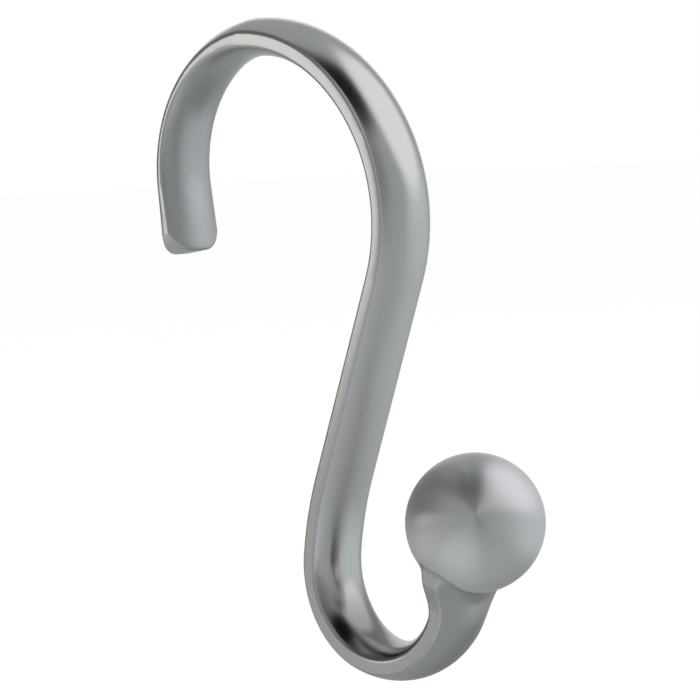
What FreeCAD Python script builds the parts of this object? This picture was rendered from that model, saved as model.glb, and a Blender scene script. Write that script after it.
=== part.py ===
import FreeCAD, Part
import math
import os

import Sketcher

doc = FreeCAD.newDocument("shower_curtain_hook")

# Driving dimensions, in millimetres and degrees.
# The hook is one casting: a crowned strip bent to an S in the XZ plane, with a ball on its lower end.
# The route that the strip follows starts level above the rod seat, which is the origin, and runs
# both ways from there: left to the tip, and right to the ball.
sheet = doc.addObject("Spreadsheet::Sheet", "dimensions")
dimensions = {
    # Section of the strip: flat sides between a high crown outside the upper bend and a lower one
    # inside it. A crown's height is from the sharp corner, before the edges are rounded.
    "strip_width": 8.0,
    "side_thickness": 1.72,
    "outer_crown_height": 1.68,
    "inner_crown_height": 1.16,
    "outer_edge_radius": 0.7,
    "inner_edge_radius": 0.5,
    # Upper bend, left of the rod seat, down to the tip.
    "front_bend_radius": 15.6,
    "front_bend_turn": 97.2,
    "tongue_length": 7.93,
    # The strip's sides are thinnest at the waist, so far round that bend, and thicken to the tip.
    "waist_turn": 48.0,
    "waist_thickness": 0.9,
    "tip_thickness": 1.55,
    # Upper bend, right of the rod seat, and the leaning spine below it.
    "shoulder_radius": 22.2,
    "shoulder_turn": 64.0,
    "neck_radius": 19.6,
    "neck_turn": 49.0,
    "spine_length": 25.5,
    # Lower bend, which carries the curtain.
    "heel_radius": 39.0,
    "heel_turn": 14.0,
    "bowl_radius": 10.65,
    "bowl_turn": 160.0,
    # Arm: it turns on from the lower bend, reaches straight on to the ball, whose centre lies on the
    # same line, and flares on the way. The flare is full after its own length of straight arm.
    "arm_bend_radius": 10.65,
    "arm_bend_turn": 12.0,
    "arm_reach": 2.11,
    "flare_length": 1.6,
    "flare_width": 10.1,
    "flare_thickness": 2.1,
    # Ball, and the web that rounds the corner between the arm and it.
    "ball_diameter": 16.0,
    "ball_web_radius": 2.6,
    # Tongue at the tip: rounded corners and a softened rim.
    "tongue_corner_radius": 3.3,
    "tongue_rim_radius": 0.5,
    # How far a corner's arc runs past the strip's side, and how far its waste reaches beyond that.
    "flank_clearance": 0.12,
    "waste_margin": 1.0,
}
for row, (alias, size) in enumerate(dimensions.items(), start=1):
    sheet.set("A%d" % row, alias.replace("_", " "))
    sheet.set("B%d" % row, str(size))
    sheet.setAlias("B%d" % row, alias)
doc.recompute()

body = doc.addObject("PartDesign::Body", "hook")
body.Label = "hook"
body.Placement = FreeCAD.Placement()
doc.recompute()

LEFT, RIGHT = 1, -1
SIDES = (1, -1)
START, END, CENTRE = 1, 2, 3
ORIGIN_POINT = (-1, 1)
HORIZONTAL_AXIS, VERTICAL_AXIS = (-1,), (-2,)
SKETCH_NORMAL = FreeCAD.Vector(0, 0, 1)
# Two directions count as one when the sine of the angle between them is under this.
DIRECTION_TOLERANCE = 1e-4
# How a section's sketch turns: about -Y, and by one degree until its expression is set.
TURNED = FreeCAD.Placement(FreeCAD.Vector(), FreeCAD.Rotation(FreeCAD.Vector(-1, 0, 0), 1.0))


def cell(alias):
    """An expression that reads one cell of the sheet."""
    return "dimensions." + alias


def number(expression):
    """The value that an expression of lengths has now."""
    return float(body.evalExpression(expression))


# Expressions that more than one feature uses. The route runs above the inner crown by the rise.
HALF_WIDTH = cell("strip_width") + " / 2"
RISE = "(%s / 2 + %s)" % (cell("side_thickness"), cell("inner_crown_height"))
TONGUE_LEAN = "(%s - 90)" % cell("front_bend_turn")
BOWL_END_HEADING = "(%s + %s - %s - %s)" % tuple(
    cell(turn) for turn in ("heel_turn", "bowl_turn", "shoulder_turn", "neck_turn"))


def polar(radius, angle):
    """A point in a sketch's plane at a distance and an angle in radians."""
    return FreeCAD.Vector(math.cos(angle), math.sin(angle), 0) * radius


def new_sketch(name, role):
    """A sketch on one of the body's own origin planes."""
    sketch = body.newObject("Sketcher::SketchObject", name)
    plane = next(item for item in body.Origin.OriginFeatures if item.Role == role)
    sketch.AttachmentSupport = [(plane, "")]
    sketch.MapMode = "FlatFace"
    doc.recompute()
    return sketch


def stand_sketch(sketch, x, z, turn):
    """Move a sketch from the YZ plane to x and z, turned by so many degrees, all as expressions."""
    sketch.AttachmentOffset = TURNED
    sketch.setExpression("AttachmentOffset.Base.z", x)
    sketch.setExpression("AttachmentOffset.Base.y", z)
    sketch.setExpression("AttachmentOffset.Rotation.Angle", turn + " * 1 deg")
    doc.recompute()


def relate(sketch, kind, *elements):
    """Add a constraint that holds no size."""
    sketch.addConstraint(Sketcher.Constraint(kind, *elements))


def bind(sketch, kind, elements, expression):
    """Add a constraint whose size follows the sheet."""
    index = sketch.addConstraint(Sketcher.Constraint(kind, *elements, number(expression)))
    sketch.setExpression("Constraints[%d]" % index, expression)


def add_arc(sketch, centre, radius, first, last):
    """Add an arc between two angles in radians, given in either order."""
    circle = Part.Circle(centre, SKETCH_NORMAL, radius)
    return sketch.addGeometry(Part.ArcOfCircle(circle, min(first, last), max(first, last)))


def draw_route(name, heading, steps):
    """A chain of tangent arcs and lines in the XZ plane, level where it starts above the rod seat.

    heading is the starting direction in degrees. Each step is ("arc", side it turns to, radius
    cell, turn cell) or ("line", length cell).
    """
    sketch = new_sketch(name, "XZ_Plane")
    place = FreeCAD.Vector(0, number(RISE), 0)
    last = None
    for step in steps:
        direction = math.radians(heading)
        if step[0] == "line":
            far = place + polar(number(cell(step[1])), direction)
            edge = sketch.addGeometry(Part.LineSegment(place, far))
            near_end, far_end = START, END
        else:
            side, radius, turn = step[1], number(cell(step[2])), number(cell(step[3]))
            centre = place + polar(radius, direction + side * math.pi / 2)
            first = direction - side * math.pi / 2
            final = first + side * math.radians(turn)
            far = centre + polar(radius, final)
            edge = add_arc(sketch, centre, radius, first, final)
            near_end, far_end = (START, END) if side == LEFT else (END, START)
            heading += side * turn
        if last is None:
            relate(sketch, "PointOnObject", edge, near_end, *VERTICAL_AXIS)
            relate(sketch, "PointOnObject", edge, CENTRE, *VERTICAL_AXIS)
            bind(sketch, "DistanceY", (*ORIGIN_POINT, edge, near_end), RISE)
        else:
            relate(sketch, "Tangent", *last, edge, near_end)
        if step[0] == "line":
            bind(sketch, "Distance", (edge,), cell(step[1]))
        else:
            bind(sketch, "Radius", (edge,), cell(step[2]))
            index = sketch.addConstraint(Sketcher.Constraint("Angle", edge, math.radians(turn)))
            sketch.setExpression("Constraints[%d]" % index, cell(step[3]) + " * 1 deg")
        last = (edge, far_end)
        place = far
    # The far end's place is measured, not set, so that what sits there can follow it.
    for kind, label, size in (("DistanceX", "end_x", place.x), ("DistanceY", "end_z", place.y)):
        index = sketch.addConstraint(Sketcher.Constraint(kind, *ORIGIN_POINT, *last, size))
        sketch.setDriving(index, False)
        sketch.renameConstraint(index, label)
    doc.recompute()
    return sketch


def draw_section(name, width, thickness, place=None):
    """A section of the strip: flat sides and two crowns, joined by tangent corners.

    It stands at the rod seat, or at a place of a route, given as expressions for x, z and the
    angle in degrees that it turns by. Its inner crown keeps its distance from the route.
    """
    sketch = new_sketch(name, "YZ_Plane")
    if place is not None:
        x, z, turn = place
        stand_sketch(sketch, "%s + %s * 1 mm * sin(%s * 1 deg)" % (x, RISE, turn),
                     "%s - %s * 1 mm * cos(%s * 1 deg)" % (z, RISE, turn), turn)
    half = number(width) / 2
    sides = {}
    for side in SIDES:
        low = FreeCAD.Vector(side * half, number(cell("inner_crown_height")), 0)
        high = low + FreeCAD.Vector(0, number(thickness), 0)
        sides[side] = sketch.addGeometry(Part.LineSegment(low, high))
        relate(sketch, "Vertical", sides[side])
        bind(sketch, "DistanceX", (*ORIGIN_POINT, sides[side], START), "%d * %s / 2" % (side, width))
    for face, way, side_end in (("outer", 1, END), ("inner", -1, START)):
        height = cell(face + "_crown_height")
        corner = number(cell(face + "_edge_radius"))
        crown_radius = "((%s / 2) ^ 2 + %s ^ 2) / (2 * %s)" % (width, height, height)
        radius = number(crown_radius)
        hub_height = crown_radius
        if face == "outer":
            hub_height = "%s + %s + %s - %s" % (cell("inner_crown_height"), thickness, height, crown_radius)
        hub = FreeCAD.Vector(0, number(hub_height), 0)
        slope = way * math.acos((half - corner) / (radius - corner))
        crown = add_arc(sketch, hub, radius, slope, way * math.pi - slope)
        relate(sketch, "PointOnObject", crown, CENTRE, *VERTICAL_AXIS)
        bind(sketch, "Radius", (crown,), crown_radius)
        bind(sketch, "DistanceY", (*ORIGIN_POINT, crown, CENTRE), hub_height)
        for side in SIDES:
            crown_angle = slope if side > 0 else way * math.pi - slope
            side_angle = 0 if side > 0 else way * math.pi
            spot = hub + polar(radius - corner, crown_angle)
            rounding = add_arc(sketch, spot, corner, crown_angle, side_angle)
            # Arcs are drawn anticlockwise, so which end meets the crown depends on the corner.
            crown_end, rounding_end = (START, END) if side * way > 0 else (END, START)
            flat_end = START if rounding_end == END else END
            relate(sketch, "Tangent", crown, crown_end, rounding, rounding_end)
            relate(sketch, "Tangent", rounding, flat_end, sides[side], side_end)
            bind(sketch, "Radius", (rounding,), cell(face + "_edge_radius"))
    doc.recompute()
    return sketch


def sweep(name, section, route, later_sections=()):
    """The strip along one route, of one section or passing smoothly through later ones."""
    pipe = body.newObject("PartDesign::AdditivePipe", name)
    pipe.Profile = (section, [""])
    if later_sections:
        pipe.Transformation = "Multisection"
        pipe.Sections = [(later, [""]) for later in later_sections]
    pipe.Spine = (route, ["Edge%d" % index for index in range(1, len(route.Shape.Edges) + 1)])
    pipe.Mode = "Standard"
    doc.recompute()
    return pipe


def route_end(route):
    """Expressions for the measured x and z of a route's far end."""
    return ["%s.Constraints.%s" % (route.Name, label) for label in ("end_x", "end_z")]


def front_bend_place(turn):
    """Expressions for x, z and turn of a place on the front bend, so many degrees round it."""
    radius = cell("front_bend_radius") + " * 1 mm"
    x = "(0 mm - %s * sin(%s * 1 deg))" % (radius, turn)
    z = "(%s * 1 mm - %s * (1 - cos(%s * 1 deg)))" % (RISE, radius, turn)
    return x, z, turn


def arm_place(route, share, run):
    """Expressions for x, z and heading of a place on the arm.

    share is how much of the arm's bend lies before it, and run the length of straight arm.
    """
    turn = "(%s * %s)" % (share, cell("arm_bend_turn"))
    chord = "(2 * %s * sin(%s / 2 * 1 deg))" % (cell("arm_bend_radius"), turn)
    slant = "(%s + %s / 2)" % (BOWL_END_HEADING, turn)
    heading = "(%s + %s)" % (BOWL_END_HEADING, turn)
    x, z = ["(%s + %s * 1 mm * %s(%s * 1 deg) + %s * 1 mm * %s(%s * 1 deg))"
            % (end, chord, wave, slant, run, wave, heading)
            for end, wave in zip(route_end(route), ("cos", "sin"))]
    return x, z, heading


def between(plain, flared, growth):
    """An expression for a size on its way from the strip's cell to the flare's."""
    return "(%s + %s * (%s - %s))" % (cell(plain), growth, cell(flared), cell(plain))


def add_arm(route):
    """The arm, lofted from the lower bend's end through ever wider sections into the ball.

    It widens with the square of the way along it until the flare is full. Its last section stands
    inside the ball, a quarter of the ball's diameter from the centre.
    """
    bend_length = "(%s * %s * pi / 180)" % (cell("arm_bend_radius"), cell("arm_bend_turn"))
    flare_length = cell("flare_length")
    root_run = "(%s + %s / 4)" % (cell("arm_reach"), cell("ball_diameter"))
    growth_there = "(((%s * %s + %s) / (%s + %s)) ^ 2)"
    steps = [(share, run, growth_there % (share, bend_length, run, bend_length, flare_length))
             for share, run in (("0", "0"), ("0.5", "0"), ("1", "0"), ("1", flare_length))]
    steps.append(("1", root_run, "1"))
    sections = []
    for index, (share, run, growth) in enumerate(steps, start=1):
        width = between("strip_width", "flare_width", growth)
        thickness = between("side_thickness", "flare_thickness", growth)
        place = arm_place(route, share, run)
        sections.append(draw_section("arm_section_%d" % index, width, thickness, place))
    arm = body.newObject("PartDesign::AdditiveLoft", "arm")
    arm.Profile = (sections[0], [""])
    arm.Sections = [(section, [""]) for section in sections[1:]]
    arm.Ruled = False
    doc.recompute()
    return arm


def add_ball(route):
    """The ball, turned about the vertical line through its centre at the end of the arm."""
    sketch = new_sketch("ball_profile", "XZ_Plane")
    centre_run = "(%s + %s / 2)" % (cell("arm_reach"), cell("ball_diameter"))
    x, z, _ = arm_place(route, "1", centre_run)
    sketch.setExpression("AttachmentOffset.Base.x", x)
    sketch.setExpression("AttachmentOffset.Base.y", z)
    radius = number(cell("ball_diameter")) / 2
    half = add_arc(sketch, FreeCAD.Vector(), radius, -math.pi / 2, math.pi / 2)
    top, bottom = FreeCAD.Vector(0, radius, 0), FreeCAD.Vector(0, -radius, 0)
    axis = sketch.addGeometry(Part.LineSegment(top, bottom))
    relate(sketch, "Coincident", half, CENTRE, *ORIGIN_POINT)
    relate(sketch, "Coincident", half, END, axis, START)
    relate(sketch, "Coincident", half, START, axis, END)
    relate(sketch, "PointOnObject", half, START, *VERTICAL_AXIS)
    relate(sketch, "PointOnObject", half, END, *VERTICAL_AXIS)
    bind(sketch, "Radius", (half,), cell("ball_diameter") + " / 2")
    doc.recompute()
    ball = body.newObject("PartDesign::Revolution", "ball")
    ball.Profile = (sketch, [""])
    ball.ReferenceAxis = (sketch, ["V_Axis"])
    ball.Angle = 360.0
    doc.recompute()
    return ball


def edges_between(shape, is_first, is_second):
    """Names of the edges where a face of one sort meets a face of another."""
    names = []
    for index, edge in enumerate(shape.Edges, start=1):
        faces = shape.ancestorsOfType(edge, Part.Face)
        if any(is_first(face) for face in faces) and any(is_second(face) for face in faces):
            names.append("Edge%d" % index)
    return names


def add_fillet(name, base, edges, radius_cell):
    """Round the named edges of the feature before."""
    fillet = body.newObject("PartDesign::Fillet", name)
    fillet.Base = (base, edges)
    fillet.setExpression("Radius", cell(radius_cell))
    doc.recompute()
    return fillet


def is_ball(face):
    """Whether a face is the ball's."""
    return isinstance(face.Surface, Part.Sphere)


def draw_tongue_waste():
    """What is cut off at the tongue's corners: on each side an arc closed by four lines.

    The sketch stands at the tip, with its vertical up the tongue. Each arc runs a little past the
    strip's side, so that it crosses the side at an angle.
    """
    sketch = new_sketch("tongue_outline", "YZ_Plane")
    stand_sketch(sketch, *route_end(tip_route), TONGUE_LEAN)
    reach_expression = "(%s + %s)" % (HALF_WIDTH, cell("flank_clearance"))
    reach = number(reach_expression)
    radius = number(cell("tongue_corner_radius"))
    margin = number(cell("waste_margin"))
    for side in SIDES:
        centre = FreeCAD.Vector(side * (reach - radius), radius, 0)
        flank_angle = 0 if side > 0 else math.pi
        end_angle = -math.pi / 2 if side > 0 else math.pi * 3 / 2
        arc = add_arc(sketch, centre, radius, flank_angle, end_angle)
        end_point, flank_point = (START, END) if side > 0 else (END, START)
        corners = [
            FreeCAD.Vector(side * reach, radius, 0),
            FreeCAD.Vector(side * (reach + margin), radius, 0),
            FreeCAD.Vector(side * (reach + margin), -margin, 0),
            FreeCAD.Vector(side * (reach - radius), -margin, 0),
            FreeCAD.Vector(side * (reach - radius), 0, 0),
        ]
        lines = [sketch.addGeometry(Part.LineSegment(*pair)) for pair in zip(corners, corners[1:])]
        for one, other in zip(lines, lines[1:]):
            relate(sketch, "Coincident", one, END, other, START)
        for kind, line in zip(("Horizontal", "Vertical", "Horizontal", "Vertical"), lines):
            relate(sketch, kind, line)
        relate(sketch, "Coincident", arc, flank_point, lines[0], START)
        relate(sketch, "Coincident", arc, end_point, lines[-1], END)
        relate(sketch, "Vertical", arc, CENTRE, arc, end_point)
        relate(sketch, "Horizontal", arc, CENTRE, arc, flank_point)
        relate(sketch, "PointOnObject", arc, end_point, *HORIZONTAL_AXIS)
        bind(sketch, "Distance", (lines[0],), cell("waste_margin"))
        bind(sketch, "Distance", (lines[-1],), cell("waste_margin"))
        bind(sketch, "Radius", (arc,), cell("tongue_corner_radius"))
        bind(sketch, "DistanceX", (*ORIGIN_POINT, arc, flank_point), "%d * %s" % (side, reach_expression))
    doc.recompute()
    return sketch


def cut_through(name, sketch, length):
    """Cut a sketch's waste off to both sides of its plane."""
    cut = body.newObject("PartDesign::Pocket", name)
    cut.Profile = (sketch, [""])
    cut.Type = "Length"
    cut.Midplane = True
    cut.setExpression("Length", length)
    doc.recompute()
    return cut


def is_tongue_wall(face):
    """Whether a face is the tongue's flat end or one of its rounded corners."""
    lean = math.radians(number(TONGUE_LEAN))
    up_tongue = FreeCAD.Vector(-math.sin(lean), 0, math.cos(lean))
    through_tongue = FreeCAD.Vector(math.cos(lean), 0, math.sin(lean))
    along = {Part.Plane: up_tongue, Part.Cylinder: through_tongue}.get(type(face.Surface))
    return along is not None and face.Surface.Axis.cross(along).Length < DIRECTION_TOLERANCE


# Strip: swept from the rod seat to the tip, thinning and growing on the way, and from the rod seat
# to the end of the lower bend.
tip_route = draw_route("tip_route", 180, [
    ("arc", LEFT, "front_bend_radius", "front_bend_turn"),
    ("line", "tongue_length"),
])
bowl_route = draw_route("bowl_route", 0, [
    ("arc", RIGHT, "shoulder_radius", "shoulder_turn"),
    ("arc", RIGHT, "neck_radius", "neck_turn"),
    ("line", "spine_length"),
    ("arc", LEFT, "heel_radius", "heel_turn"),
    ("arc", LEFT, "bowl_radius", "bowl_turn"),
])
strip_section, *tip_sections = [
    draw_section(name, cell("strip_width"), cell(thickness), place)
    for name, thickness, place in (
        ("strip_section", "side_thickness", None),
        ("waist_section", "waist_thickness", front_bend_place(cell("waist_turn"))),
        ("tip_section", "tip_thickness", (*route_end(tip_route), cell("front_bend_turn"))))]
sweep("tip_run", strip_section, tip_route, tip_sections)
sweep("bowl_run", strip_section, bowl_route)

# Arm, ball, and the web where one runs into the other.
add_arm(bowl_route)
ball = add_ball(bowl_route)
neck_edges = edges_between(ball.Shape, is_ball, lambda face: not is_ball(face))
ball_web = add_fillet("ball_web", ball, neck_edges, "ball_web_radius")

# Tongue: its corners are cut round, and then the rim of its end and corners is softened.
tongue_depth = "2 * (%s + %s + %s)" % (RISE, cell("outer_crown_height"), cell("waste_margin"))
tongue_corners = cut_through("tongue_corners", draw_tongue_waste(), tongue_depth)
rim = edges_between(tongue_corners.Shape, is_tongue_wall, lambda face: not is_tongue_wall(face))
tongue_rim = add_fillet("tongue_rim", tongue_corners, rim, "tongue_rim_radius")

# Every feature must have been made, each cut and rounding must have added faces, and the hook must
# be one valid solid.
for item in doc.Objects:
    if "Invalid" in item.State or "Error" in item.State:
        raise RuntimeError("%s failed: %s" % (item.Name, item.getStatusString()))
for sketch in doc.findObjects("Sketcher::SketchObject"):
    if not sketch.FullyConstrained:
        raise RuntimeError(sketch.Name + " is not fully constrained")
stages = [ball, ball_web, tongue_corners, tongue_rim]
for earlier, later in zip(stages, stages[1:]):
    if len(later.Shape.Faces) <= len(earlier.Shape.Faces):
        raise RuntimeError(later.Name + " changed nothing")
shape = body.Shape
if shape.isNull() or not shape.isValid() or len(shape.Solids) != 1:
    raise RuntimeError("the hook is not one valid solid")

# Zinc casting alloy, in grams per cubic millimetre.
DENSITY = 6.6e-3
box = shape.BoundBox
print("hook: %.2f mm3, %d faces, %.1f g" % (shape.Volume, len(shape.Faces), shape.Volume * DENSITY))
print("X %.2f to %.2f, Y %.2f to %.2f, Z %.2f to %.2f"
      % (box.XMin, box.XMax, box.YMin, box.YMax, box.ZMin, box.ZMax))

os.makedirs("parts", exist_ok=True)
shape.exportStep(os.path.join("parts", body.Label + ".step"))
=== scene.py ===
# %% [markdown]
# A hook that carries a shower curtain, dressed for its picture.
#
# The real object is one metal casting: a crowned strip bent to an S, with a ball on its lower end.
# It is plated with nickel. The strip is polished, and the ball has a turned satin finish.
# The construction is already made and packed, so this lesson only gives it its looks: it refines the
# surface, makes the two finishes, and builds a small studio round the hook.

import math

import bmesh
import bpy
from mathutils import Matrix, Vector


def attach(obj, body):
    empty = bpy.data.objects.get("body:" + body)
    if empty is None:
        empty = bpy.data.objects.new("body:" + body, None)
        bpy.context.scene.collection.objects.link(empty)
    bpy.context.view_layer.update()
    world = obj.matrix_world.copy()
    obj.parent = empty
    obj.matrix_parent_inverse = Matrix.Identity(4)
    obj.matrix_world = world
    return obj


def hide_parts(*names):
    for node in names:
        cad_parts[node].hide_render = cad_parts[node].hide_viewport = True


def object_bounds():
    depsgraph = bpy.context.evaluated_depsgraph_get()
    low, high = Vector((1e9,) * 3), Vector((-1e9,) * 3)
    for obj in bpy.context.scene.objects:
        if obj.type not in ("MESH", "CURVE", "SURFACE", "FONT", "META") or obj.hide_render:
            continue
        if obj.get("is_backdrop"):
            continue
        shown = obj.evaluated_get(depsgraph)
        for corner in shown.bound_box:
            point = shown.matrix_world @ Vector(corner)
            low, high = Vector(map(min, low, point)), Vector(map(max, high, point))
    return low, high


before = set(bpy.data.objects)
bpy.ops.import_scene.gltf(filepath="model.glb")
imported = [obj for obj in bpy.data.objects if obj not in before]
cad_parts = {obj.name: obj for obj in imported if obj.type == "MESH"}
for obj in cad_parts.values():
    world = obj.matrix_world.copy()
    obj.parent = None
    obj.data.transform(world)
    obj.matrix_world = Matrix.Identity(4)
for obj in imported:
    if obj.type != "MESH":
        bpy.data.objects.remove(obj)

MM = 0.001
cad_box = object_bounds()
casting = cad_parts["hook"]
print("casting:", len(casting.data.vertices), "points,", len(casting.data.polygons), "faces")

# %% [markdown]
# The camera comes first, because everything else is judged through it. A long lens from 39 cm away
# gives the flat perspective of a catalogue picture. It stands before the hook's front corner, so both
# the flat side and the broad face of the strip show. Its place and turn could be set by eye with a
# Track To constraint. Here they were fitted to the outline, and are given as a place and two axes.

# %% Camera
CAMERA_PLACE = Vector((282.5, -263.35, -7.28)) * MM
CAMERA_RIGHT = Vector((0.70001, 0.71234, -0.05057))
CAMERA_UP = Vector((-0.01706, 0.08747, 0.99602))
SENSOR_WIDTH = 36.0
FOCAL_LENGTH = 165.7
NEAREST_SEEN = 10 * MM

camera_data = bpy.data.cameras.new("camera")
camera_data.sensor_width = SENSOR_WIDTH
camera_data.lens = FOCAL_LENGTH
camera_data.clip_start = NEAREST_SEEN
camera = bpy.data.objects.new("camera", camera_data)
bpy.context.scene.collection.objects.link(camera)
back = CAMERA_RIGHT.cross(CAMERA_UP)
axes = Matrix((CAMERA_RIGHT, CAMERA_UP, back)).transposed()
camera.matrix_world = Matrix.Translation(CAMERA_PLACE) @ axes.to_4x4()
bpy.context.scene.camera = camera
print("camera distance from the origin: %.0f mm" % (CAMERA_PLACE.length / MM))

# %% [markdown]
# The strip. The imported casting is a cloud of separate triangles, which mirror their surroundings in
# flat facets. It could be modelled anew, but a merged copy keeps its exact form: one closed skin,
# shaded smooth, so that reflections flow. The ball gets its own skin below, so its faces come off this
# copy. Every point of the ball lies at one distance from its centre, which is how they are found.

# %% Skin of the strip
BALL_CENTRE = Vector((31.454, 0.0, -54.421)) * MM
BALL_RADIUS = 8.0 * MM
MERGE_DISTANCE = 0.001 * MM
ON_BALL = 0.004 * MM


def new_piece(name, mesh_builder):
    """Make an object from a bmesh, smooth, riding on the casting's body."""
    mesh = bpy.data.meshes.new(name)
    mesh_builder.to_mesh(mesh)
    mesh_builder.free()
    mesh.polygons.foreach_set("use_smooth", [True] * len(mesh.polygons))
    piece = bpy.data.objects.new(name, mesh)
    bpy.context.scene.collection.objects.link(piece)
    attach(piece, "root")
    print(name + ":", len(mesh.vertices), "points,", len(mesh.polygons), "faces")
    return piece


skin = bmesh.new()
skin.from_mesh(casting.data)
bmesh.ops.remove_doubles(skin, verts=skin.verts, dist=MERGE_DISTANCE)
on_ball = {vert for vert in skin.verts if abs((vert.co - BALL_CENTRE).length - BALL_RADIUS) < ON_BALL}
ball_faces = [face for face in skin.faces if all(vert in on_ball for vert in face.verts)]
bmesh.ops.delete(skin, geom=ball_faces, context="FACES")
print("faces left to the ball:", len(ball_faces))

# %% End of the strip inside the ball
# The open end is drawn in under the ball's skin and closed there. Its rim is a crisp edge.
TUCK = 0.94

rim = [edge for edge in skin.edges if edge.is_boundary]
for edge in rim:
    edge.smooth = False
grown = bmesh.ops.extrude_edge_only(skin, edges=rim)["geom"]
inner = [item for item in grown if isinstance(item, bmesh.types.BMVert)]
to_centre = Matrix.Translation(-BALL_CENTRE)
bmesh.ops.scale(skin, vec=(TUCK, TUCK, TUCK), space=to_centre, verts=inner)
bmesh.ops.holes_fill(skin, edges=[edge for edge in skin.edges if edge.is_boundary])
bmesh.ops.recalc_face_normals(skin, faces=skin.faces)
skin.normal_update()
print("edges of the rim:", len(rim), "- open edges left:", sum(edge.is_boundary for edge in skin.edges))

# %% [markdown]
# The strip was not finished alike all round. One broad face is buffed bright, the other stays satin
# because a wheel hardly gets into the bends, and the flat sides were ground. Image textures could say
# which is which. Two marks on the mesh's points do it with no picture: how buffed a point is, and how
# far it is on a flat side. The buffed face looks away from the upper bend's middle, and further down
# the same face looks into the lower bend.

# %% Marks of the finish on the strip
# The middles of the two bends, and the heights between which the buffed face goes from one to the other.
UPPER_MIDDLE = Vector((3.0, 0.0, -17.0)) * MM
LOWER_MIDDLE = Vector((18.3, 0.0, -61.0)) * MM
SWAP_FROM = -22.0 * MM
SWAP_TO = -44.0 * MM
# How far a normal has to turn outwards, or sideways, for its mark to start and to be full.
BUFFED_FACING = (-0.1, 0.3)
SIDE_FACING = (0.85, 0.97)


def ramp(value, low, high):
    """0 under low and 1 over high, with a soft rise between them."""
    share = min(1.0, max(0.0, (value - low) / (high - low)))
    return share * share * (3 - 2 * share)


buffed_mark = skin.verts.layers.float.new("buffed")
side_mark = skin.verts.layers.float.new("side")
for vert in skin.verts:
    away_from_upper = (vert.co - UPPER_MIDDLE).normalized()
    into_lower = (LOWER_MIDDLE - vert.co).normalized()
    outward = away_from_upper.lerp(into_lower, ramp(vert.co.z, SWAP_FROM, SWAP_TO))
    vert[buffed_mark] = ramp(vert.normal.dot(outward), *BUFFED_FACING)
    vert[side_mark] = ramp(abs(vert.normal.y), *SIDE_FACING)
print("buffed points:", sum(vert[buffed_mark] > 0.5 for vert in skin.verts), "of", len(skin.verts))
strip = new_piece("hook_strip", skin)
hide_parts("hook")

# %% [markdown]
# The ball. On the real hook it looks turned or polished on a spindle: fine lines run in rings round
# one pole, and light gathers in wedges that meet there. An ico sphere has more even faces, but a UV
# sphere has just such rings. Its pole is turned to where the wedges meet, and its UV map later tells
# the finish which way the lines run.

# %% Skin of the ball
POLE = Vector((0.677, -0.701, 0.252)).normalized()
BALL_SEGMENTS = 128
BALL_RINGS = 64

sphere = bmesh.new()
sphere.loops.layers.uv.new("turned")
turn = Vector((0, 0, 1)).rotation_difference(POLE).to_matrix().to_4x4()
bmesh.ops.create_uvsphere(sphere, u_segments=BALL_SEGMENTS, v_segments=BALL_RINGS, radius=BALL_RADIUS,
                          matrix=Matrix.Translation(BALL_CENTRE) @ turn, calc_uvs=True)
ball = new_piece("hook_ball", sphere)
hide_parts("hook")

# %% [markdown]
# A shared effect for both finishes. Plating is never quite even: it has a faint ripple like orange
# peel, a fine grain from polishing, and a slow drift in how clear the shine is. A node group holds all
# three. It takes the depth of ripple and grain, and puts out a mask for the drift and a height for the
# bump, so that each finish uses them at its own strength.

# %% Node helpers
def link(tree, source, target):
    """Join two sockets."""
    tree.links.new(source, target)


def add_node(tree, kind, **settings):
    """Add a node and set its properties."""
    node = tree.nodes.new(kind)
    for name, setting in settings.items():
        setattr(node, name, setting)
    return node


# %% Group for the plated surface
# Each noise: its scale, in waves to a metre, and its detail.
NOISES = {"drift": (60.0, 2.0), "ripple": (420.0, 1.0), "grain": (5200.0, 2.0)}
SOCKETS = {"Ripple Depth": "INPUT", "Grain Depth": "INPUT", "Drift": "OUTPUT", "Height": "OUTPUT"}


def plating_group():
    """Ripple, grain and drift of a plated surface, in object coordinates."""
    group = bpy.data.node_groups.new("plating_surface", "ShaderNodeTree")
    for name, way in SOCKETS.items():
        group.interface.new_socket(name, in_out=way, socket_type="NodeSocketFloat")
    inputs = add_node(group, "NodeGroupInput")
    outputs = add_node(group, "NodeGroupOutput")
    place = add_node(group, "ShaderNodeTexCoord")
    noises = {}
    for name, (scale, detail) in NOISES.items():
        noise = add_node(group, "ShaderNodeTexNoise", label=name)
        noise.inputs["Scale"].default_value = scale
        noise.inputs["Detail"].default_value = detail
        link(group, place.outputs["Object"], noise.inputs["Vector"])
        noises[name] = noise.outputs["Fac"]
    ripple = add_node(group, "ShaderNodeMath", operation="MULTIPLY")
    link(group, noises["ripple"], ripple.inputs[0])
    link(group, inputs.outputs["Ripple Depth"], ripple.inputs[1])
    grain = add_node(group, "ShaderNodeMath", operation="MULTIPLY_ADD")
    link(group, noises["grain"], grain.inputs[0])
    link(group, inputs.outputs["Grain Depth"], grain.inputs[1])
    link(group, ripple.outputs[0], grain.inputs[2])
    link(group, noises["drift"], outputs.inputs["Drift"])
    link(group, grain.outputs[0], outputs.inputs["Height"])
    return group


plating = plating_group()
print("group:", plating.name, [socket.name for socket in plating.interface.items_tree])

# %% [markdown]
# A finish is then a Principled shader on full metal. A single grey would do at a distance, but close to
# it looks like plastic. So the colour drifts between two near greys, the roughness between two near
# values, and the group's height bends the normal by a hair. The polished nickel goes on the strip, and
# the satin nickel on the ball.

# %% A metal finish
# The part of the drift noise that turns the roughness from clear to dull.
DRIFT_RANGE = (0.3, 0.7)


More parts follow.
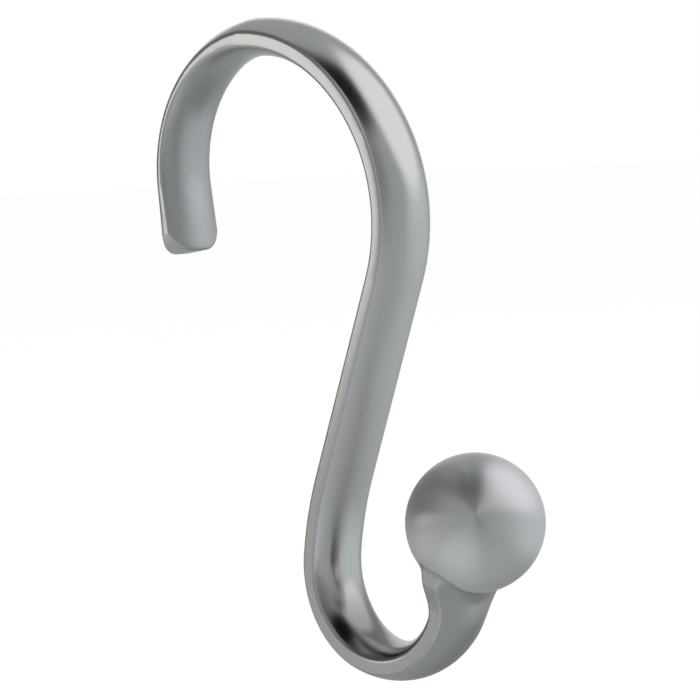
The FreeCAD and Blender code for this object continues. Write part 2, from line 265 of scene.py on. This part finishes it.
def metal_finish(name, cool, warm, clear, dull, ripple_depth, grain_depth):
    """A plated metal: two tones of grey, two roughnesses, and the depth of its ripple and grain."""
    material = bpy.data.materials.new(name)
    material.use_nodes = True
    tree = material.node_tree
    shader = tree.nodes["Principled BSDF"]
    shader.inputs["Metallic"].default_value = 1.0
    surface = add_node(tree, "ShaderNodeGroup", node_tree=plating)
    surface.inputs["Ripple Depth"].default_value = ripple_depth
    surface.inputs["Grain Depth"].default_value = grain_depth
    tone = add_node(tree, "ShaderNodeMix", data_type="RGBA")
    tone.inputs["A"].default_value = (*cool, 1)
    tone.inputs["B"].default_value = (*warm, 1)
    link(tree, surface.outputs["Drift"], tone.inputs["Factor"])
    link(tree, tone.outputs["Result"], shader.inputs["Base Color"])
    gloss = add_node(tree, "ShaderNodeMapRange")
    gloss.inputs["From Min"].default_value, gloss.inputs["From Max"].default_value = DRIFT_RANGE
    gloss.inputs["To Min"].default_value = clear
    gloss.inputs["To Max"].default_value = dull
    link(tree, surface.outputs["Drift"], gloss.inputs["Value"])
    link(tree, gloss.outputs["Result"], shader.inputs["Roughness"])
    bump = add_node(tree, "ShaderNodeBump")
    bump.inputs["Distance"].default_value = MM
    bump.inputs["Strength"].default_value = 1.0
    link(tree, surface.outputs["Height"], bump.inputs["Height"])
    link(tree, bump.outputs["Normal"], shader.inputs["Normal"])
    return material, shader


# %% The two finishes
polished, polished_shader = metal_finish(
    "polished_nickel", cool=(0.70, 0.715, 0.715), warm=(0.73, 0.72, 0.70),
    clear=0.17, dull=0.23, ripple_depth=0.01, grain_depth=0.0006)
satin, satin_shader = metal_finish(
    "satin_nickel", cool=(0.84, 0.84, 0.86), warm=(0.91, 0.905, 0.90),
    clear=0.31, dull=0.36, ripple_depth=0.004, grain_depth=0.001)
print("finishes:", polished.name, "and", satin.name)

# %% [markdown]
# The ball's lines are far too fine to model. They show only by what they do to the light: the shine is
# stretched across them, from pole to rim, into wedges. Anisotropy does that, with the ball's UV map to
# say how the lines run, and a quarter turn to put the stretch across them.

# %% Lines on the ball
STRETCH = 0.92
QUARTER_TURN = 0.25

satin_shader.inputs["Anisotropic"].default_value = STRETCH
satin_shader.inputs["Anisotropic Rotation"].default_value = QUARTER_TURN
lines = add_node(satin.node_tree, "ShaderNodeTangent", direction_type="UV_MAP", uv_map="turned")
link(satin.node_tree, lines.outputs["Tangent"], satin_shader.inputs["Tangent"])
ball.data.materials.clear()
ball.data.materials.append(satin)
print("lines on the ball follow the map:", lines.uv_map)

# %% [markdown]
# On the strip one material serves all the faces, so that they run into each other with no seam. The
# marks on the mesh turn its roughness from satin to buffed, and to ground on the flat sides. Two things
# go by height instead, through a soft rise on the Z of Object coordinates: the neck between the bends,
# which has worn dull, and painted shade at the bottom of the bowl, under the ball, where the buffed face
# is made darker and a little brown.

# %% Helpers for the strip's finish
def mark_on_mesh(tree, mark):
    """A mark stored on the mesh's points, 0 to 1."""
    return add_node(tree, "ShaderNodeAttribute", attribute_name=mark).outputs["Fac"]


def rise(tree, height, low, high):
    """0 at the height low and 1 at the height high, and beyond each, with a soft change between them."""
    step = add_node(tree, "ShaderNodeMapRange", interpolation_type="SMOOTHSTEP")
    step.inputs["From Min"].default_value = low
    step.inputs["From Max"].default_value = high
    link(tree, height, step.inputs["Value"])
    return step.outputs["Result"]


def blend(tree, share, rest, marked):
    """Mix two grey levels by a share; either may be a socket or a number."""
    mix = add_node(tree, "ShaderNodeMix", data_type="FLOAT")
    link(tree, share, mix.inputs["Factor"])
    for slot, level in (("A", rest), ("B", marked)):
        if isinstance(level, float):
            mix.inputs[slot].default_value = level
        else:
            link(tree, level, mix.inputs[slot])
    return mix.outputs["Result"]


# %% Gloss along the strip
SATIN_ROUGHNESS = 0.33
GROUND_ROUGHNESS = 0.2
WORN_ROUGHNESS = 0.48
# The heights at which the worn neck sets in, and at which it ends.
BOWL_TO_NECK = (-60 * MM, -50 * MM)
NECK_TO_SHOULDER = (-28 * MM, -12 * MM)

strip_tree = polished.node_tree
buffed_gloss = polished_shader.inputs["Roughness"].links[0].from_socket
place = add_node(strip_tree, "ShaderNodeTexCoord")
split = add_node(strip_tree, "ShaderNodeSeparateXYZ")
link(strip_tree, place.outputs["Object"], split.inputs["Vector"])
over_bowl = rise(strip_tree, split.outputs["Z"], *BOWL_TO_NECK)
over_neck = rise(strip_tree, split.outputs["Z"], *NECK_TO_SHOULDER)
neck = add_node(strip_tree, "ShaderNodeMath", operation="SUBTRACT")
link(strip_tree, over_bowl, neck.inputs[0])
link(strip_tree, over_neck, neck.inputs[1])

buffed = mark_on_mesh(strip_tree, "buffed")
faces_gloss = blend(strip_tree, buffed, SATIN_ROUGHNESS, buffed_gloss)
worn_gloss = blend(strip_tree, neck.outputs["Value"], faces_gloss, WORN_ROUGHNESS)
sides_gloss = blend(strip_tree, mark_on_mesh(strip_tree, "side"), worn_gloss, GROUND_ROUGHNESS)
link(strip_tree, sides_gloss, polished_shader.inputs["Roughness"])
print("the neck is dull from %.0f to %.0f mm" % (BOWL_TO_NECK[1] / MM, NECK_TO_SHOULDER[0] / MM))

# %% Tones along the strip
SATIN_TONE = (0.585, 0.595, 0.60, 1)
# A painted shade tone, darker and a little brown, for the bottom of the bowl.
PAINTED_BOWL_SHADE_TONE = (0.36, 0.35, 0.33, 1)
# The height at which the painted shade in the bowl starts, and the one under which it is full.
INTO_BOWL = (-61 * MM, -68 * MM)

tones = add_node(strip_tree, "ShaderNodeMix", data_type="RGBA")
tones.inputs["A"].default_value = SATIN_TONE
link(strip_tree, buffed, tones.inputs["Factor"])
link(strip_tree, polished_shader.inputs["Base Color"].links[0].from_socket, tones.inputs["B"])

# Painted shade: the buffed face is made darker towards the bottom of the bowl, under the ball.
in_bowl = add_node(strip_tree, "ShaderNodeMath", operation="MULTIPLY")
link(strip_tree, rise(strip_tree, split.outputs["Z"], *INTO_BOWL), in_bowl.inputs[0])
link(strip_tree, buffed, in_bowl.inputs[1])
painted_bowl_shade = add_node(strip_tree, "ShaderNodeMix", data_type="RGBA")
painted_bowl_shade.inputs["B"].default_value = PAINTED_BOWL_SHADE_TONE
link(strip_tree, in_bowl.outputs["Value"], painted_bowl_shade.inputs["Factor"])
link(strip_tree, tones.outputs["Result"], painted_bowl_shade.inputs["A"])
link(strip_tree, painted_bowl_shade.outputs["Result"], polished_shader.inputs["Base Color"])

strip.data.materials.clear()
strip.data.materials.append(polished)
print("nodes in the strip's finish:", len(strip_tree.nodes))

# %% [markdown]
# Metal shows what stands round it, so the set matters as much as the finish. The hook hangs above a
# pale floor. Panels and lamps could be placed round it one by one. A light tent is simpler: one large
# sphere that only mirrors see, cut off flat just above the floor and closed there.

# %% Floor
FLOOR_DROP = 46 * MM
FLOOR_SIZE = 8.0


def stage_object(name, builder):
    """A piece of the set, which is not part of the hook."""
    mesh = bpy.data.meshes.new(name)
    builder.to_mesh(mesh)
    builder.free()
    thing = bpy.data.objects.new(name, mesh)
    bpy.context.scene.collection.objects.link(thing)
    thing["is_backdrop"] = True
    return thing


floor_builder = bmesh.new()
floor_height = cad_box[0][2] - FLOOR_DROP
bmesh.ops.create_grid(floor_builder, x_segments=1, y_segments=1, size=FLOOR_SIZE / 2,
                      matrix=Matrix.Translation((0, 0, floor_height)))
floor = stage_object("floor", floor_builder)
print("floor height: %.0f mm" % (floor_height / MM))

# %% Light tent
TENT_RADIUS = 1.5
TENT_SEGMENTS = 48
TENT_RINGS = 24
TENT_GAP = 1 * MM
TENT_CENTRE = (Vector(cad_box[0]) + Vector(cad_box[1])) / 2

tent_builder = bmesh.new()
bmesh.ops.create_uvsphere(tent_builder, u_segments=TENT_SEGMENTS, v_segments=TENT_RINGS,
                          radius=TENT_RADIUS, matrix=Matrix.Translation(TENT_CENTRE))
everything = tent_builder.verts[:] + tent_builder.edges[:] + tent_builder.faces[:]
bmesh.ops.bisect_plane(tent_builder, geom=everything, plane_co=(0, 0, floor_height + TENT_GAP),
                       plane_no=(0, 0, 1), clear_inner=True)
bmesh.ops.holes_fill(tent_builder, edges=[edge for edge in tent_builder.edges if edge.is_boundary])
tent = stage_object("light_tent", tent_builder)

# The tent isn't seen by the camera, and neither lights nor shades the floor.
tent.visible_camera = False
tent.visible_diffuse = False
tent.visible_shadow = False
print("faces of the tent:", len(tent.data.polygons))

# %% [markdown]
# The tent's cloth glows in soft zones, each a cone about a direction from the hook. A wide window
# stands at the camera's right, and a dark flag hangs high over the camera: polished faces turn them into
# bright bands and black patches. A small bright zone stands where the flat side mirrors it to the
# camera. The rest is a plain grey. A zone further down the list lies over those above it.

# %% Zones of light
BASE_TONE = (0.37, 0.39, 0.39)
# Each zone: name, (azimuth, elevation), full inside this angle, gone outside this one, tone.
ZONES = [
    ("right glow", (148, -8), 26, 48, (0.57, 0.61, 0.62)),
    ("front floor", (20, -42), 16, 36, (0.56, 0.58, 0.59)),
    ("low back", (178, -54), 12, 30, (0.26, 0.265, 0.27)),
    ("dim front", (42, 16), 8, 34, (0.24, 0.25, 0.25)),
    ("upper left", (-15, 60), 10, 22, (0.14, 0.14, 0.145)),
    ("dark flag", (42, 64), 12, 30, (0.004, 0.004, 0.006)),
    ("window", (142, 42), 27, 42, (0.92, 0.92, 0.95)),
    ("backdrop", (-134, 8), 12, 26, (0.85, 0.85, 0.85)),
    ("dark left", (-58, 20), 30, 44, (0.15, 0.15, 0.155)),
    ("warm left", (-46, -25), 19, 27, (0.52, 0.51, 0.475)),
    ("side light", (-47, 4.5), 7, 10.5, (1.0, 1.0, 0.97)),
]


def direction(azimuth, elevation):
    """A direction from the hook: azimuth in degrees from -Y towards +X, elevation above level."""
    a, e = math.radians(azimuth), math.radians(elevation)
    return Vector((math.sin(a) * math.cos(e), -math.cos(a) * math.cos(e), math.sin(e)))


for zone in ZONES:
    print(zone[0] + ":", [round(part, 2) for part in direction(*zone[1])])

# %% Cloth of the tent
def tent_material():
    """Soft zones of light by direction from the hook."""
    material = bpy.data.materials.new("tent_cloth")
    material.use_nodes = True
    tree = material.node_tree
    tree.nodes.clear()
    place = add_node(tree, "ShaderNodeTexCoord")
    from_hook = add_node(tree, "ShaderNodeVectorMath", operation="SUBTRACT")
    link(tree, place.outputs["Object"], from_hook.inputs[0])
    from_hook.inputs[1].default_value = TENT_CENTRE
    unit = add_node(tree, "ShaderNodeVectorMath", operation="NORMALIZE")
    link(tree, from_hook.outputs["Vector"], unit.inputs[0])
    colour = add_node(tree, "ShaderNodeRGB").outputs[0]
    colour.default_value = (*BASE_TONE, 1)
    for name, aim, inner, outer, tone in ZONES:
        facing = add_node(tree, "ShaderNodeVectorMath", operation="DOT_PRODUCT", label=name)
        link(tree, unit.outputs["Vector"], facing.inputs[0])
        facing.inputs[1].default_value = direction(*aim)
        mask = add_node(tree, "ShaderNodeMapRange", interpolation_type="SMOOTHSTEP")
        mask.inputs["From Min"].default_value = math.cos(math.radians(outer))
        mask.inputs["From Max"].default_value = math.cos(math.radians(inner))
        link(tree, facing.outputs["Value"], mask.inputs["Value"])
        mix = add_node(tree, "ShaderNodeMix", data_type="RGBA")
        mix.inputs["B"].default_value = (*tone, 1)
        link(tree, mask.outputs["Result"], mix.inputs["Factor"])
        link(tree, colour, mix.inputs["A"])
        colour = mix.outputs["Result"]
    glow = add_node(tree, "ShaderNodeEmission")
    link(tree, colour, glow.inputs["Color"])
    output = add_node(tree, "ShaderNodeOutputMaterial")
    link(tree, glow.outputs["Emission"], output.inputs["Surface"])
    return material


tent.data.materials.append(tent_material())
print("zones in the tent's cloth:", len(ZONES))

# %% [markdown]
# The background is to be white with no visible edge to the floor. More light would do it and spoil the
# metal, so it comes from colour: near-white paper with no gloss, under a plain white world. One soft
# lamp, behind and above, gives the light a direction. Mirrors don't see it, as they have the tent. The
# Standard view shows each colour as it is written.

# %% Floor paper and world
FLOOR_COLOUR = (0.99, 0.99, 0.99, 1)
WORLD_COLOUR = (1, 1, 1, 1)
WORLD_STRENGTH = 1.0

floor_material = bpy.data.materials.new("floor_paper")
floor_material.use_nodes = True
floor_shader = floor_material.node_tree.nodes["Principled BSDF"]
floor_shader.inputs["Base Color"].default_value = FLOOR_COLOUR
floor_shader.inputs["Roughness"].default_value = 1.0
floor_shader.inputs["Specular IOR Level"].default_value = 0.0
floor.data.materials.append(floor_material)

world = bpy.data.worlds.new("studio")
world.use_nodes = True
bpy.context.scene.world = world
sky = world.node_tree.nodes["Background"]
sky.inputs["Color"].default_value = WORLD_COLOUR
sky.inputs["Strength"].default_value = WORLD_STRENGTH
print("floor colour:", FLOOR_COLOUR[:3], "- world strength:", WORLD_STRENGTH)

# %% Lamp and view
def add_lamp(name, azimuth, elevation, distance, size, power):
    """A square softbox that points at the hook: angles in degrees, lengths in metres, power in watts."""
    data = bpy.data.lights.new(name, "AREA")
    data.shape = "SQUARE"
    data.size = size
    data.energy = power
    lamp = bpy.data.objects.new(name, data)
    bpy.context.scene.collection.objects.link(lamp)
    aim = direction(azimuth, elevation)
    lamp.location = TENT_CENTRE + aim * distance
    lamp.rotation_euler = aim.to_track_quat("Z", "Y").to_euler()
    return lamp


key_lamp = add_lamp("key_lamp", azimuth=150, elevation=50, distance=0.9, size=0.4, power=0.5)
key_lamp.visible_glossy = False
print("lamp:", key_lamp.name, "%.1f W" % key_lamp.data.energy)

bpy.context.scene.view_settings.view_transform = "Standard"

# %% [markdown]
# Last, the sizes. Both boxes, the imported hook's and the dressed hook's, are printed before the scene
# is closed. The dressed hook may not be larger than the imported one.

# %% Sizes and finish
visual_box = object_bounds()
sizes = {"cad": [list(corner) for corner in cad_box], "visual": [list(corner) for corner in visual_box]}
for name, (low, high) in sizes.items():
    print(name, "size in mm:", [round((b - a) / MM, 2) for a, b in zip(low, high)])
